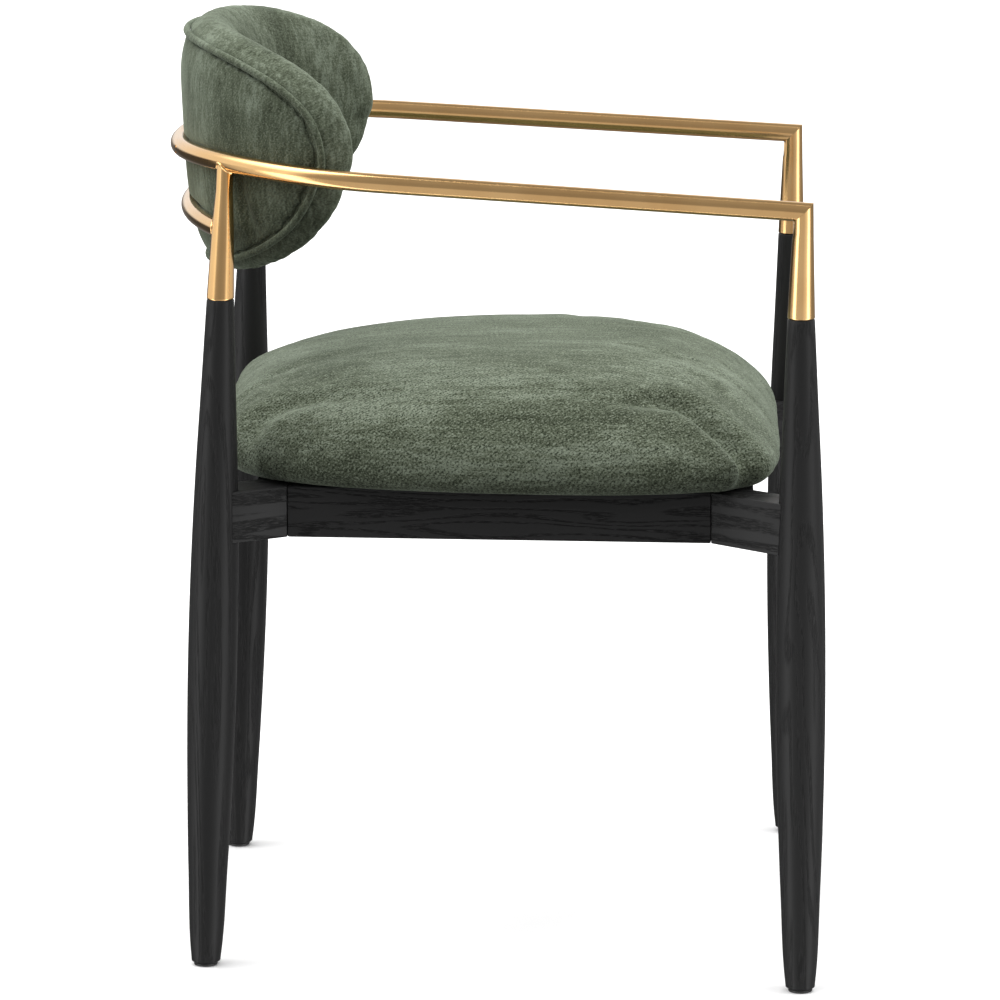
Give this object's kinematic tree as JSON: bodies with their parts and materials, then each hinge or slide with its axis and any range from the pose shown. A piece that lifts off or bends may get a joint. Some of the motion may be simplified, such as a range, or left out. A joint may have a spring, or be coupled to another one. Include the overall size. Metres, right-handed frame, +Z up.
{
  "type": "dining chair",
  "caption": "Dining armchair with a curved upholstered back inside a wrap-round tubular arm rail, a crowned seat cushion and turned, tapered wooden legs.",
  "frame": {"origin": "on the floor, under the middle of the chair's bounding box", "axes": "+Z up, the front of the chair towards -Y, the sitter's left-hand side towards +X"},
  "size_m": [0.5418, 0.5548, 0.782],
  "materials": {
    "black_ash": "black-stained ash with a satin lacquer, open grain just visible",
    "satin_brass": "satin brushed brass plating on tube",
    "brass_bolt": "satin brass bolt heads",
    "green_velvet": "moss green chenille velvet with a fine twill and melange flecks",
    "black_nylon": "moulded nylon",
    "plywood": "unfinished birch plywood",
    "zinc_steel": "zinc-plated steel",
    "black_lining": "black non-woven lining"
  },
  "bodies": {
    "root": {"leg_front_right": "black_ash", "leg_front_left": "black_ash", "leg_rear_right": "black_ash", "leg_rear_left": "black_ash", "glide_front_right": "black_nylon", "glide_front_left": "black_nylon", "glide_rear_right": "black_nylon", "glide_rear_left": "black_nylon", "leg_stud_front_right": "zinc_steel", "leg_stud_front_left": "zinc_steel", "leg_stud_rear_right": "zinc_steel", "leg_stud_rear_left": "zinc_steel", "post_front_right": "satin_brass", "post_front_left": "satin_brass", "post_rear_right": "satin_brass", "post_rear_left": "satin_brass", "arm_rail": "satin_brass", "lower_back_rail": "satin_brass", "side_rail_right": "black_ash", "side_rail_left": "black_ash", "front_rail": "black_ash", "rear_rail": "black_ash", "corner_block_front_right": "black_ash", "corner_block_front_left": "black_ash", "corner_block_rear_right": "black_ash", "corner_block_rear_left": "black_ash", "leg_bolt_front_right": "zinc_steel", "leg_bolt_front_left": "zinc_steel", "leg_bolt_rear_right": "zinc_steel", "leg_bolt_rear_left": "zinc_steel", "seat_screw_front_right": "zinc_steel", "seat_screw_front_left": "zinc_steel", "seat_screw_rear_right": "zinc_steel", "seat_screw_rear_left": "zinc_steel", "seat_board": "plywood", "seat_cushion": "green_velvet", "seat_dust_cover": "black_lining", "back_core": "plywood", "back_pad": "green_velvet", "back_panel": "green_velvet", "back_piping": "green_velvet", "back_bolt_upper_right": "brass_bolt", "back_bolt_upper_left": "brass_bolt", "back_bolt_lower_right": "brass_bolt", "back_bolt_lower_left": "brass_bolt"}
  },
  "joints": []
}
